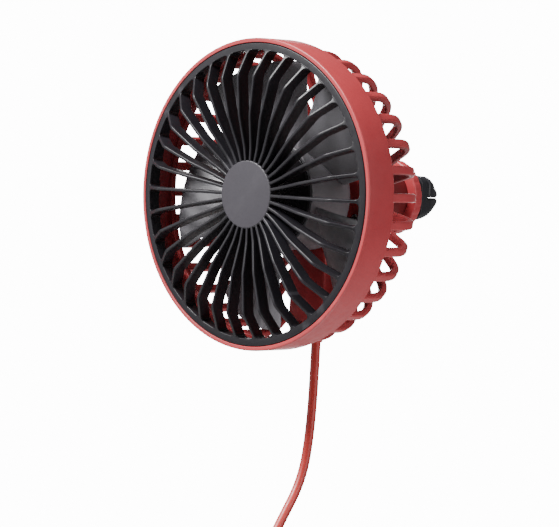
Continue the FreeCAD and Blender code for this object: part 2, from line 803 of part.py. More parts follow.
def make_cord():
    """Tube, coil, tie and the lengths they account for."""
    radius = value("cord_radius")
    hanging, hanging_length = tube(cord_route(), radius, "hanging cord")
    tail, tail_length = tube(tail_route(), radius, "tail")
    new_shape("usb_cord", hanging)
    new_shape("cord_tail", tail)
    coiled = value("cord_length") - hanging_length - tail_length
    print("coiled length", round(coiled, 1), "turns", round(coiled / (2 * math.pi * value("coil_radius")), 2))
    coil = doc.addObject("Part::Torus", "cord_coil")
    coil.Label = "cord_coil"
    coil.Radius1 = value("coil_radius")
    coil.Radius2 = value("coil_section")
    coil.setExpression("Radius1", S.coil_radius.text)
    coil.setExpression("Radius2", S.coil_section.text)
    upright = Rotation(Vector(0, 1, 0), 90)
    centre = Vector(0, value("coil_centre_y") - value("reach"), -value("coil_centre_z"))
    coil.Placement = Placement(centre, upright)
    coil.setExpression("Placement.Base.y", (S.coil_centre_y - S.reach).text)
    coil.setExpression("Placement.Base.z", (-S.coil_centre_z).text)
    parts.append(coil)


def column(name, radius, top_radius, bottom, height):
    """An upright cone or cylinder on the cord's exit line."""
    kind = "Part::Cylinder" if top_radius is None else "Part::Cone"
    solid = doc.addObject(kind, name)
    sizes = {"Radius": radius} if top_radius is None else {"Radius1": radius, "Radius2": top_radius}
    for key, size in {**sizes, "Height": as_size(height)}.items():
        setattr(solid, key, size.value)
        solid.setExpression(key, size.text)
    solid.Placement = Placement(
        Vector(0, S.cord_exit.value - S.reach.value, bottom.value), Rotation())
    solid.setExpression("Placement.Base.y", (S.cord_exit - S.reach).text)
    solid.setExpression("Placement.Base.z", bottom.text)
    return solid


def make_grommet():
    """Strain relief: a flange inside the box, a plug in its wall and a taper below."""
    wall_top = S.box_wall - S.box_bottom
    flange = column("grommet_flange", S.cord_radius + 2, None, wall_top + 0.05, 1.2)
    plug = column("grommet_plug", S.cord_radius + 1.05, None, -S.box_bottom - 0.1, S.box_wall + 0.2)
    taper = column("grommet_taper", S.cord_radius + 0.5, S.cord_radius + 1.9, -S.grommet_end,
                   S.grommet_end - S.box_bottom - 0.05)
    bore = column("grommet_bore", S.cord_radius + 0.05, None, -S.grommet_end - 1, 12)
    whole = doc.addObject("Part::MultiFuse", "grommet_solid")
    whole.Shapes = [flange, plug, taper]
    grommet = doc.addObject("Part::Cut", "cord_grommet")
    grommet.Base = whole
    grommet.Tool = bore
    grommet.Label = "cord_grommet"
    doc.recompute()
    parts.append(grommet)


def stacked(body, name, bottom, height, corners, cut=False):
    """Push a plan-view outline up from bottom by height."""
    sketch = new_sketch(body, f"{name}_outline", "XY_Plane", as_size(bottom))
    outline(sketch, corners)
    feature = body.newObject("PartDesign::Pocket" if cut else "PartDesign::Pad", name)
    feature.Profile = sketch
    feature.Length = as_size(height).value
    feature.setExpression("Length", as_size(height).text)
    feature.Reversed = cut
    return finish_feature(body, feature)


def plan_box(half_width, half_thick, rounding=0):
    """A rectangle in plan view round the plug's centre line."""
    front, back = S.plug_y - half_thick, S.plug_y + half_thick
    return [(-half_width, front, rounding), (half_width, front, rounding),
            (half_width, back, rounding), (-half_width, back, rounding)]


def make_plug():
    """USB plug: overmould with a tapered relief, folded metal shell and contact tongue."""
    mould_top = -S.plug_top - S.relief_length
    mould_bottom = mould_top - S.plug_length
    mould = new_body("plug_overmould")
    stacked(mould, "mould_block", mould_bottom, S.plug_length,
            plan_box(S.plug_width / 2, S.plug_thick / 2, 2.2))
    stacked(mould, "relief_block", mould_top, S.relief_length,
            plan_box(S.cord_radius + 1.1, S.cord_radius + 0.9, 1.6))
    stacked(mould, "shell_seat", mould_bottom, 6.0,
            plan_box(S.shell_width / 2 + 0.05, S.shell_thick / 2 + 0.05), cut=True)
    shell = new_body("plug_shell")
    shell_bottom = mould_bottom - S.shell_length
    stacked(shell, "shell_block", shell_bottom, S.shell_length + 5.8,
            plan_box(S.shell_width / 2, S.shell_thick / 2, 0.6))
    stacked(shell, "shell_room", shell_bottom - 1, S.shell_length + 6.5,
            plan_box(S.shell_width / 2 - S.shell_sheet, S.shell_thick / 2 - S.shell_sheet, 0.25), cut=True)
    tongue = new_body("plug_tongue")
    stacked(tongue, "tongue_block", shell_bottom + 0.6, S.shell_length + 4.8, [
        (-5.5, S.plug_y - 1.85), (5.5, S.plug_y - 1.85), (5.5, S.plug_y), (-5.5, S.plug_y),
    ])


def make_tie():
    """Band holding the turns together on the rear side of the coil."""
    body = new_body("cord_tie")
    outer = S.coil_section + 0.8
    inner = S.coil_section + 0.25
    middle = S.coil_centre_y + S.coil_radius
    for name, half, cut in (("tie_block", outer, False), ("tie_room", inner, True)):
        stacked(body, name, -S.coil_centre_z - 2.5, 5.0, [
            (-half, middle - half, half * 0.6), (half, middle - half, half * 0.6),
            (half, middle + half, half * 0.6), (-half, middle + half, half * 0.6),
        ], cut=cut)


# ---------------------------------------------------------------- build, check and write

make_rear_housing()
make_front_grille()
make_motor_cover()
make_socket_nut()
make_motor()
make_impeller()
make_rotor()
make_ball_stud()
make_vent_clip()
make_controls()
make_all_screws()
make_lead_wires()
make_grommet()
make_cord()
make_tie()
make_plug()
doc.recompute()

faults = [item.Name for item in doc.Objects if "Invalid" in item.State or "Error" in item.State]
for part in parts:
    shape = part.Shape
    if shape.isNull() or not shape.isValid() or not shape.Solids:
        faults.append(part.Label)
if faults:
    raise SystemExit(f"failed pieces: {faults}")

os.makedirs("parts", exist_ok=True)
for part in parts:
    part.Shape.exportStep(f"parts/{part.Label}.step")
    print(part.Label, len(part.Shape.Solids), "solid(s)", round(part.Shape.Volume, 1), "mm3")
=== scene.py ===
import json
import math

import bmesh
import bpy
from mathutils import Matrix, Vector


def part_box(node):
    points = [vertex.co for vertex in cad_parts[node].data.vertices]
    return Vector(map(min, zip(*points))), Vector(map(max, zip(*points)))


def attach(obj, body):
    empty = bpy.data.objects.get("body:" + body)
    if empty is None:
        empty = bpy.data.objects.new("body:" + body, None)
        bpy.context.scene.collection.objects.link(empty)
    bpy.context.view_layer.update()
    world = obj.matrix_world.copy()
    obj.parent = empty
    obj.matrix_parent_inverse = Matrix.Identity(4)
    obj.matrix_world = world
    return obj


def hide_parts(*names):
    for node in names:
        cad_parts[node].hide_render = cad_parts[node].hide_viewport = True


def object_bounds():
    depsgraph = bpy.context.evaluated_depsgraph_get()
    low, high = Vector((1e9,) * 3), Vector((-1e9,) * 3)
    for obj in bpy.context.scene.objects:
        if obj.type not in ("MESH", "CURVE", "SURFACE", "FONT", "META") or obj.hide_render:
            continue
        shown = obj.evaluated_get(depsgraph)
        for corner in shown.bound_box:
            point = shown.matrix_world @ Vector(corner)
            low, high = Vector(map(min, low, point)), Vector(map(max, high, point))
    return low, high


# A clip-on fan for a car's air vent: black dished grille, red housing with a cage of ribs,
# grey impeller, pronged clip and a red cord.  Lengths are named in millimetres and turned
# into metres by MM.  "back" is the distance behind the housing's front rim.

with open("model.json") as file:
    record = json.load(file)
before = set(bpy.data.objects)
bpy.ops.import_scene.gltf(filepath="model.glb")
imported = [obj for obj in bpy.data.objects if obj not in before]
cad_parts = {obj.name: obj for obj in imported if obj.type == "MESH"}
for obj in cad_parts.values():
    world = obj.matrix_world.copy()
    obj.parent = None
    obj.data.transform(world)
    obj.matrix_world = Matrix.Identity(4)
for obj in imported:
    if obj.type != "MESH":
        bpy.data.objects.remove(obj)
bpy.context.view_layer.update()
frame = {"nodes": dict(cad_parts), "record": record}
nodes = frame["nodes"]

MM = 0.001
RIM_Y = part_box("rear_housing")[0].y
TURN = 2 * math.pi


def place(across, back, up):
    """A point from millimetres: across, back from the front rim, up."""
    return Vector((across * MM, RIM_Y + back * MM, up * MM))


def blend(low, high, share):
    """A value between two others."""
    return low + (high - low) * share


# ---------------------------------------------------------------- camera

SENSOR = 36.0
LENS = 190.37
CAMERA_SPOT = (0.689914, -0.811418, 0.026177)
CAMERA_RIGHT = (0.72860645, 0.68349857, 0.0442983)
CAMERA_UP = (-0.06586889, 0.00554659, 0.99781287)


def make_camera():
    """The fan is seen from its front right, from a metre away."""
    data = bpy.data.cameras.new("camera")
    data.lens = LENS
    data.sensor_width = SENSOR
    camera = bpy.data.objects.new("camera", data)
    bpy.context.scene.collection.objects.link(camera)
    right, up = Vector(CAMERA_RIGHT), Vector(CAMERA_UP)
    turn = Matrix((right, up, right.cross(up))).transposed()
    camera.matrix_world = Matrix.Translation(CAMERA_SPOT) @ turn.to_4x4()
    bpy.context.scene.camera = camera


make_camera()

# ---------------------------------------------------------------- material kit

WORN_EDGE = (0.52, 0.62)        # pointiness at which wear begins and is full
MOULD_GRAIN = 0.000012          # depths of relief, in metres
MOULD_WAVES = 0.00003
DRAWN_LINES = 0.000006


class Shader:
    """A node material: a principled surface with noise for colour, roughness and bump."""

    def __init__(self, name, color, roughness, metallic=0.0, specular=0.5):
        self.material = bpy.data.materials.new(name)
        self.material.use_nodes = True
        self.material.diffuse_color = (*color, 1.0)
        self.tree = self.material.node_tree
        self.surface = self.tree.nodes["Principled BSDF"]
        self.surface.inputs["Base Color"].default_value = (*color, 1.0)
        self.surface.inputs["Roughness"].default_value = roughness
        self.surface.inputs["Metallic"].default_value = metallic
        self.surface.inputs["Specular IOR Level"].default_value = specular
        self.spot = self.node("ShaderNodeTexCoord").outputs["Object"]

    def node(self, kind, **settings):
        item = self.tree.nodes.new(kind)
        for key, value in settings.items():
            setattr(item, key, value)
        return item

    def link(self, source, target):
        self.tree.links.new(source, target)

    def noise(self, scale, detail=3.0, stretch=None):
        """Noise with features about 1/scale metres across, stretched along an axis if asked."""
        item = self.node("ShaderNodeTexNoise")
        item.inputs["Scale"].default_value = scale
        item.inputs["Detail"].default_value = detail
        spot = self.spot
        if stretch:
            mapping = self.node("ShaderNodeMapping")
            mapping.inputs["Scale"].default_value = stretch
            self.link(spot, mapping.inputs["Vector"])
            spot = mapping.outputs["Vector"]
        self.link(spot, item.inputs["Vector"])
        return item.outputs["Fac"]

    def ramp(self, source, low, high, start=0.35, end=0.65):
        """Colours or greys from low to high as the source rises."""
        item = self.node("ShaderNodeValToRGB")
        first, last = item.color_ramp.elements
        first.position, last.position = start, end
        first.color, last.color = (*low, 1.0), (*high, 1.0)
        self.link(source, item.inputs["Fac"])
        return item.outputs["Color"]

    def range(self, source, low, high, start=0.3, end=0.7):
        """A number from low to high as the source rises."""
        item = self.node("ShaderNodeMapRange")
        for key, value in (("From Min", start), ("From Max", end), ("To Min", low), ("To Max", high)):
            item.inputs[key].default_value = value
        self.link(source, item.inputs["Value"])
        return item.outputs["Result"]

    def mix(self, share, below, above, mode="MIX"):
        """One colour over another by a share."""
        item = self.node("ShaderNodeMix", data_type="RGBA", blend_type=mode)
        for key, value in ((0, share), (6, below), (7, above)):
            if isinstance(value, bpy.types.NodeSocket):
                self.link(value, item.inputs[key])
            elif key:
                item.inputs[key].default_value = (*value, 1.0)
            else:
                item.inputs[key].default_value = value
        return item.outputs[2]

    def edges(self):
        """A mask of the convex edges, where handling wears the surface."""
        pointiness = self.node("ShaderNodeNewGeometry").outputs["Pointiness"]
        return self.range(pointiness, 0.0, 1.0, *WORN_EDGE)

    def paint(self, source):
        self.link(source, self.surface.inputs["Base Color"])

    def rough(self, source):
        self.link(source, self.surface.inputs["Roughness"])

    def bump(self, height, distance, strength=1.0):
        """Surface relief of that depth in metres, on top of any relief already there."""
        item = self.node("ShaderNodeBump")
        item.inputs["Distance"].default_value = distance
        item.inputs["Strength"].default_value = strength
        self.link(height, item.inputs["Height"])
        normal = self.surface.inputs["Normal"]
        if normal.links:
            self.link(normal.links[0].from_socket, item.inputs["Normal"])
        self.link(item.outputs["Normal"], normal)


def moulded(name, dark, light, worn, roughness, specular=0.45):
    """Moulded plastic: cloudy colour, fine spark-eroded grain and paler, polished edges."""
    shader = Shader(name, light, roughness, specular=specular)
    cloud = shader.ramp(shader.noise(55.0, 2.0), dark, light, 0.3, 0.7)
    speck = shader.range(shader.noise(1900.0, 2.0), 0.94, 1.05)
    grey = shader.node("ShaderNodeCombineColor")
    for key in range(3):
        shader.link(speck, grey.inputs[key])
    tinted = shader.mix(1.0, cloud, grey.outputs[0], "MULTIPLY")
    rub = shader.node("ShaderNodeMath", operation="MULTIPLY")
    shader.link(shader.edges(), rub.inputs[0])
    shader.link(shader.range(shader.noise(260.0), 0.15, 0.6), rub.inputs[1])
    shader.paint(shader.mix(rub.outputs[0], tinted, worn))
    shader.rough(shader.range(shader.noise(420.0, 4.0), roughness - 0.06, roughness + 0.07))
    shader.bump(shader.noise(3600.0, 2.0), MOULD_GRAIN, 0.9)
    shader.bump(shader.noise(120.0, 1.0), MOULD_WAVES, 0.35)
    return shader.material


def metal(name, color, roughness, stretch=(1.0, 40.0, 1.0)):
    """Plated or drawn metal with fine lines."""
    shader = Shader(name, color, roughness, metallic=1.0)
    lines = shader.noise(900.0, 3.0, stretch)
    shader.rough(shader.range(lines, roughness - 0.08, roughness + 0.12))
    shade = tuple(channel * 0.78 for channel in color)
    shader.paint(shader.ramp(lines, shade, color, 0.25, 0.7))
    shader.bump(lines, DRAWN_LINES, 0.6)
    return shader.material


def soft(name, dark, light, roughness, sheen=0.0, pits=0.00002):
    """Vinyl or rubber: faint streaks, dusty hollows and a soft grain."""
    shader = Shader(name, light, roughness, specular=0.4)
    shader.surface.inputs["Sheen Weight"].default_value = sheen
    shader.paint(shader.ramp(shader.noise(140.0, 4.0), dark, light, 0.3, 0.7))
    shader.rough(shader.range(shader.noise(500.0, 3.0), roughness - 0.08, roughness + 0.1))
    shader.bump(shader.noise(1500.0, 3.0), pits, 0.7)
    return shader.material


RED = moulded("red_plastic_look", (0.27, 0.022, 0.026), (0.31, 0.028, 0.032),
              (0.38, 0.055, 0.058), 0.42)
# The same red plastic made darker: painted shade for the neck, which sits deep between the pod and the
# nut.
RED_PAINTED_SHADE = moulded("red_painted_shade_look", (0.075, 0.005, 0.006), (0.09, 0.007, 0.008),
                   (0.10, 0.009, 0.010), 0.5, specular=0.2)
BLACK = moulded("black_plastic_look", (0.0065, 0.0056, 0.0075), (0.009, 0.008, 0.0105),
                (0.045, 0.042, 0.049), 0.42, specular=0.28)
DISC = moulded("disc_look", (0.020, 0.0172, 0.0225), (0.023, 0.020, 0.026), (0.030, 0.027, 0.033), 0.5)
CLIP = moulded("clip_look", (0.0065, 0.006, 0.0085), (0.009, 0.0085, 0.0115),
               (0.03, 0.03, 0.036), 0.4, specular=0.3)
SILVER = moulded("silver_plastic_look", (0.10, 0.096, 0.104), (0.125, 0.12, 0.131),
                 (0.15, 0.144, 0.156), 0.34)
CAP = moulded("cap_look", (0.010, 0.008, 0.010), (0.014, 0.012, 0.014), (0.04, 0.035, 0.04), 0.4)
NYLON = moulded("nylon_look", (0.66, 0.64, 0.58), (0.74, 0.72, 0.66), (0.8, 0.78, 0.72), 0.45)
CORD = soft("cord_look", (0.29, 0.019, 0.015), (0.35, 0.027, 0.022), 0.42)
RUBBER = soft("rubber_look", (0.016, 0.016, 0.018), (0.026, 0.026, 0.029), 0.72, 0.2, 0.00004)
STEEL = metal("steel_look", (0.62, 0.62, 0.63), 0.28)
NICKEL = metal("nickel_look", (0.78, 0.77, 0.74), 0.22, (1.0, 1.0, 30.0))
BRONZE = metal("bronze_look", (0.66, 0.40, 0.22), 0.34)
FERRITE = moulded("ferrite_look", (0.05, 0.05, 0.052), (0.075, 0.075, 0.08), (0.14, 0.14, 0.14), 0.6)
BOARD = moulded("board_look", (0.012, 0.11, 0.045), (0.018, 0.15, 0.06), (0.1, 0.3, 0.16), 0.35)

# ---------------------------------------------------------------- mesh kit

def finish_mesh(name, mesh, material, body="head", node_names=(), smooth=40.0):
    """Put a mesh in the scene with its material, its body and the nodes it stands for."""
    build = bmesh.new()
    build.from_mesh(mesh)
    bmesh.ops.recalc_face_normals(build, faces=build.faces)
    build.to_mesh(mesh)
    build.free()
    mesh.materials.clear()
    mesh.materials.append(material)
    mesh.shade_smooth()
    mesh.set_sharp_from_angle(angle=math.radians(smooth))
    item = bpy.data.objects.new(name, mesh)
    bpy.context.scene.collection.objects.link(item)
    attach(item, body)
    if node_names:
        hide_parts(*node_names)
    return item


def rounded(corners, closed=True, step=15.0):
    """Corners (x, y, rounding) as an outline of points, each rounding drawn as an arc."""
    corners = [(*corner, 0.0)[:3] for corner in corners]
    points = []
    for i, (x, y, radius) in enumerate(corners):
        here = Vector((x, y))
        inner = closed or 0 < i < len(corners) - 1
        if not radius or not inner:
            points.append(here)
            continue
        before = (Vector(corners[i - 1][:2]) - here).normalized()
        after = (Vector(corners[(i + 1) % len(corners)][:2]) - here).normalized()
        half = before.angle(after) / 2
        centre = here + (before + after).normalized() * (radius / math.sin(half))
        reach = radius / math.tan(half)
        first, last = here + before * reach - centre, here + after * reach - centre
        turn = first.angle_signed(last)
        count = max(2, math.ceil(abs(math.degrees(turn)) / step))
        for k in range(count + 1):
            angle = -turn * k / count
            spin = Matrix.Rotation(angle, 2)
            points.append(centre + spin @ first)
    return points


class Shape:
    """Collects points and faces of one mesh."""

    def __init__(self):
        self.points = []
        self.faces = []

    def rings(self, rings, closed_run=False, caps=False):
        """Join rings of the same number of points into a skin."""
        first = len(self.points)
        size = len(rings[0])
        for ring in rings:
            self.points.extend(ring)
        runs = len(rings) if closed_run else len(rings) - 1
        for i in range(runs):
            here, there = first + i * size, first + ((i + 1) % len(rings)) * size
            for k in range(size):
                ahead = (k + 1) % size
                self.faces.append((here + k, here + ahead, there + ahead, there + k))
        if caps:
            last = first + (len(rings) - 1) * size
            self.faces.append(tuple(range(first, first + size)))
            self.faces.append(tuple(range(last + size - 1, last - 1, -1)))

    def mesh(self, name):
        data = bpy.data.meshes.new(name)
        data.from_pydata([tuple(point) for point in self.points], [], self.faces)
        data.validate()
        return data


def around(radius, back, angle):
    """A point at that radius, turned clockwise from 12 o'clock as seen from the front."""
    return place(radius * math.sin(angle), back, radius * math.cos(angle))


def lathe(shape, corners, count=180, step=15.0):
    """Turn an outline of (back, radius, rounding) corners round the fan's axis."""
    outline = rounded(corners, True, step)
    turns = [TURN * i / count for i in range(count)]
    shape.rings([[around(point.y, point.x, angle) for point in outline] for angle in turns],
                closed_run=True)


def section(width, depth, rounding):
    """A rounded bar section, as points of (across, along the depth)."""
    half, low, high = width / 2, -depth / 2, depth / 2
    corners = [(-half, low, rounding), (half, low, rounding),
               (half, high, rounding), (-half, high, rounding)]
    return rounded(corners, True, 18.0)


def radial_bar(shape, spine, angle, outline):
    """A bar of one section in a plane through the axis: spine is (radius, back) points."""
    across = Vector((math.cos(angle), 0.0, -math.sin(angle))) * MM
    outward = Vector((math.sin(angle), 0.0, math.cos(angle))) * MM
    back = Vector((0.0, MM, 0.0))
    rings = []
    for i, spot in enumerate(spine):
        way = (spine[min(i + 1, len(spine) - 1)] - spine[max(i - 1, 0)]).normalized()
        normal = outward * way.y - back * way.x
        centre = around(spot.x, spot.y, angle)
        rings.append([centre + across * point.x + normal * point.y for point in outline])
    shape.rings(rings, caps=True)


SHARP = 35.0                    # edges that turn further than this, in degrees, are rounded


def softened(node, width, material, body="head"):
    """A copy of a CAD node with its sharp edges rounded, standing for that node."""
    mesh = nodes[node].data.copy()
    build = bmesh.new()
    build.from_mesh(mesh)
    bmesh.ops.remove_doubles(build, verts=build.verts, dist=2e-6)
    bmesh.ops.dissolve_limit(build, angle_limit=math.radians(0.6), verts=build.verts,
                             edges=build.edges)
    build.to_mesh(mesh)
    build.free()
    item = finish_mesh(f"{node}_shape", mesh, material, body, [node], SHARP)
    bevel = item.modifiers.new("rounded edges", "BEVEL")
    bevel.width = width * MM
    bevel.segments = 3
    bevel.limit_method = "ANGLE"
    bevel.angle_limit = math.radians(SHARP)
    bevel.use_clamp_overlap = True
    bevel.harden_normals = True


# ---------------------------------------------------------------- cord

CORD_RADIUS = 1.65
COIL_BACK, COIL_UP, COIL_RADIUS = 26.0, -143.0, 19.0
LAY = 4.7                       # distance between neighbouring turns in the bundle
HANGING = [
    (0, 35.6, -43.0), (0, 35.6, -62.0), (0, 34.6, -83.0), (0, 31.5, -99.0), (0, 21.5, -113.0),
    (0, 12.5, -126.0), (-2.0, 7.0, -137.0),
]
TAIL = [
    (6.5, 20.0, -163.0), (4.0, 31.0, -165.5), (1.0, 41.0, -168.0), (0, 44.8, -176.0),
    (0, 44.8, -183.5),
]
TURN_STEPS = 14
STRAP_STEPS = 56


def coil_turns():
    """Nine turns in three layers of three, then out at the bottom."""
    layers = [(-1, 1), (-1, 0), (-1, -1), (0, -1), (0, 0), (0, 1), (1, 1), (1, 0), (1, -1)]
    points = []
    for turn, (side, out) in enumerate(layers):
        ahead = layers[turn + 1] if turn + 1 < len(layers) else (1.5, -0.6)
        for k in range(TURN_STEPS):
            share = k / TURN_STEPS
            angle = math.pi + TURN * share
            radius = COIL_RADIUS + LAY * blend(out, ahead[1], share)
            points.append((LAY * blend(side, ahead[0], share),
                           COIL_BACK + radius * math.cos(angle), COIL_UP + radius * math.sin(angle)))
    for angle in (math.pi, math.pi * 1.15, math.pi * 1.32):
        points.append((LAY * 1.6, COIL_BACK + (COIL_RADIUS - 2) * math.cos(angle),
                       COIL_UP + (COIL_RADIUS - 1) * math.sin(angle)))
    return points


def make_cord():
    """One smooth length of cord: the hanging stretch, the tied coil and the lead to the plug."""
    route = HANGING + coil_turns() + TAIL
    curve = bpy.data.curves.new("usb_cord_line", "CURVE")
    curve.dimensions = "3D"
    curve.bevel_depth = CORD_RADIUS * MM
    curve.bevel_resolution = 6
    curve.resolution_u = 8
    curve.use_fill_caps = True
    spline = curve.splines.new("NURBS")
    spline.points.add(len(route) - 1)
    for point, spot in zip(spline.points, route):
        point.co = (*place(*spot), 1.0)
    spline.order_u = 3
    spline.use_endpoint_u = True
    curve.materials.append(CORD)
    cord = bpy.data.objects.new("usb_cord_line", curve)
    bpy.context.scene.collection.objects.link(cord)
    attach(cord, "head")
    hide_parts("usb_cord", "cord_coil", "cord_tail")
    return cord


def column(shape, corners, back, count=48):
    """Turn an outline of (radius, up, rounding) corners round the cord's exit line."""
    outline = rounded(corners)
    turns = [TURN * i / count for i in range(count)]
    shape.rings([
        [place(point.x * math.cos(angle), back + point.x * math.sin(angle), point.y)
         for point in outline]
        for angle in turns
    ], closed_run=True)


def make_grommet():
    """Ribbed strain relief where the cord leaves the control box."""
    top, bottom, bore = -45.05, -51.0, CORD_RADIUS + 0.05
    corners = [(bore, top), (3.6, top), (3.5, top - 0.9, 0.2)]
    for ring in range(3):
        up = top - 1.2 - ring * 1.5
        wide = 3.2 - ring * 0.35
        corners += [(wide - 0.55, up + 0.2, 0.15), (wide - 0.55, up - 0.3, 0.15),
                    (wide, up - 0.5, 0.2), (wide - 0.15, up - 1.1, 0.2)]
    corners += [(bore + 0.4, bottom, 0.2), (bore, bottom)]
    shape = Shape()
    column(shape, corners, 35.6)
    finish_mesh("cord_grommet_shape", shape.mesh("cord_grommet"), CORD,
                node_names=["cord_grommet"])


def stadium(half_width, half_thick, rounding, back, up):
    """A rounded rectangle in plan view round the plug's centre line."""
    corners = [(-half_width, -half_thick, rounding), (half_width, -half_thick, rounding),
               (half_width, half_thick, rounding), (-half_width, half_thick, rounding)]
    return [place(point.x, back + point.y, up) for point in rounded(corners, True, 10.0)]


def make_plug():
    """Moulded grip with finger ridges and a tapering, slit strain relief."""
    back, top = 44.8, -178.5
    shape = Shape()
    relief = [(1.9, 1.9, 1.8, 0.0), (2.45, 2.25, 2.0, -0.5)]
    for ring in range(4):
        up = -1.6 - ring * 2.3
        wide = 2.5 + ring * 0.16
        relief += [(wide, wide - 0.15, 2.0, up), (wide - 0.5, wide - 0.6, 1.8, up - 0.35),
                   (wide - 0.5, wide - 0.6, 1.8, up - 0.85), (wide, wide - 0.15, 2.0, up - 1.2)]
    grip = [(3.1, 2.8, 2.2, -11.0), (6.6, 3.3, 2.4, -11.4), (7.6, 3.8, 2.6, -12.6)]
    for ridge in range(5):
        up = -15.2 - ridge * 1.9
        grip += [(7.6, 3.8, 2.6, up), (7.6, 3.35, 2.6, up - 0.4), (7.6, 3.35, 2.6, up - 0.9),
                 (7.6, 3.8, 2.6, up - 1.3)]
    grip += [(7.7, 3.85, 2.6, -31.0), (7.3, 3.5, 2.4, -31.9), (5.9, 2.2, 1.0, -32.0)]
    rings = [stadium(wide, thick, min(corner, thick - 0.05), back, top + up)
             for wide, thick, corner, up in relief + grip]
    shape.rings(rings, caps=True)
    return finish_mesh("plug_grip", shape.mesh("plug_grip"), CORD,
                       node_names=["plug_overmould"], smooth=50.0)


def make_tie():
    """Hook-and-loop strap round the bundle at the back of the coil."""
    shape = Shape()
    centre = COIL_BACK + COIL_RADIUS
    turns = [TURN * k / STRAP_STEPS for k in range(STRAP_STEPS)]
    rings = []
    for outer, up in ((6.95, -2.4), (7.15, -2.1), (7.15, 2.1), (6.95, 2.4), (6.5, 2.4), (6.5, -2.4)):
        rings.append([
            place(outer * math.cos(angle) * 1.02, centre + outer * math.sin(angle), COIL_UP + up)
            for angle in turns
        ])
    shape.rings(rings, closed_run=True)
    return finish_mesh("cord_tie_strap", shape.mesh("cord_tie_strap"), RUBBER,
                       node_names=["cord_tie"], smooth=60.0)


cord = make_cord()
make_grommet()
grip = make_plug()
tie = make_tie()

# ---------------------------------------------------------------- red housing

RIBS = 34
RIB_TURN = math.radians(-1.7)
BAND, CAGE, HUB = 53.0, 51.2, 21.0
CORNER, SLOPE = 28.2, 0.4
RIB_WIDTH, RIB_DEPTH, RIB_ROUND = 3.0, 2.44, 0.75
RIB_IN = 1.22                   # half the rib's depth, from the cage's outside to its spine
BOX_HALF = 8.0
STUB_END = 42.0                 # radius where the ribs over the control box end, inside its wall


def make_housing():
    """Band with a rounded lip, hub plate and cage of rounded ribs."""
    shape = Shape()
    lathe(shape, [
        (0.0, 51.5, 0.2), (0.0, BAND, 0.5), (12.6, BAND, 0.5), (12.6, 48.9, 0.4),
        (10.2, 48.9, 0.5), (10.2, 50.2, 0.3), (2.3, 50.2, 0.2), (2.3, 51.5, 0.15),
    ], count=240)
    hub_edge = CORNER + SLOPE * (CAGE - HUB)
    lathe(shape, [
        (hub_edge - 1.0, HUB + 1.4, 0.3), (hub_edge, HUB + 0.2, 0.6), (41.4, HUB - 2.2, 0.4),
        (41.4, 3.3), (39.0, 3.3), (39.0, 17.0, 0.3), (hub_edge - 2.9, HUB + 1.2, 0.3),
    ], count=160)
    spine = rounded([
        (CAGE - RIB_IN, 11.8), (CAGE - RIB_IN, CORNER + 1.4 - RIB_IN * 0.6, 11.5),
        (STUB_END, 31.67), (HUB - 2.2, hub_edge - 0.45),
    ], closed=False, step=9.0)
    stub = [spot for spot in spine if spot.x > STUB_END - 0.1]
    first = math.pi / RIBS + RIB_TURN
    bar = section(RIB_WIDTH, RIB_DEPTH, RIB_ROUND)
    for i in range(RIBS):
        angle = first + TURN * i / RIBS
        middle = around(33.0, 36.0, angle)
        in_box = middle.z < 0 and abs(middle.x) < (BOX_HALF + 0.5) * MM
        radial_bar(shape, stub if in_box else spine, angle, bar)
    finish_mesh("rear_housing_shape", shape.mesh("rear_housing"), RED,
                node_names=["rear_housing"])


def rounded_box(shape, half, low, high, front, back, rounding, edge):
    """A box with rounded corners in front view and rounded front and back edges."""
    runs = [(edge, front), (edge * 0.3, front + edge * 0.3), (0.0, front + edge),
            (0.0, back - edge), (edge * 0.3, back - edge * 0.3), (edge, back)]
    rings = []
    for inset, spot in runs:
        corners = [(-half + inset, low + inset, rounding), (half - inset, low + inset, rounding),
                   (half - inset, high - inset, rounding), (-half + inset, high - inset, rounding)]
        rings.append([place(point.x, spot, point.y) for point in rounded(corners)])
    shape.rings(rings, caps=True)


def make_control_box():
    """Body of the control box, its lid and the speed button."""
    shape = Shape()
    rounded_box(shape, BOX_HALF, -45.0, -18.0, 29.5, 41.35, 2.0, 0.6)
    finish_mesh("control_box_shape", shape.mesh("control_box"), RED)
    softened("box_lid", 0.35, RED)
    softened("speed_button", 0.3, BLACK, "button")


make_housing()
make_control_box()

# ---------------------------------------------------------------- black grille

SLATS = 34
SLAT_HALF, SLAT_DEPTH, SLOT_OUTER, FLARE = 0.52, 4.8, 48.9, 1.5
FLARE_STEP, SLAT_STEP = 0.18, 2.5
DISH = [                        # front line of a slat: (radius, back, rounding)
    (10.2, -2.9), (11.4, -3.0, 0.5), (16.0, -3.35, 8.0), (27.0, -5.6, 10.0), (40.5, -5.8, 4.0),
    (48.9, -0.45, 4.0), (49.6, -0.25),
]


def slat_half(radius):
    """Half a slat's thickness at that radius, flaring where it meets the outer ring."""
    past = radius - (SLOT_OUTER - FLARE)
    if past <= 0:
        return SLAT_HALF
    return SLAT_HALF + FLARE - math.sqrt(max(FLARE ** 2 - min(past, FLARE) ** 2, 0.0))


def slat_outline(radius):
    """The slat's section: rounded front edge, sides that open slightly towards the rear."""
    half, edge = slat_half(radius), 0.34
    corners = [(-half, 0.0, edge), (half, 0.0, edge), (half + 0.04, SLAT_DEPTH, 0.15),
               (-half - 0.04, SLAT_DEPTH, 0.15)]
    return rounded(corners, True, 18.0)


def dish_spine():
    """The slat's front line with extra points through the flare."""
    line = rounded(DISH, closed=False, step=5.0)
    spine = [line[0]]
    for here, there in zip(line, line[1:]):
        step = FLARE_STEP if there.x > SLOT_OUTER - FLARE else SLAT_STEP
        pieces = max(1, round((there - here).length / step))
        spine += [here.lerp(there, k / pieces) for k in range(1, pieces + 1)]
    return spine


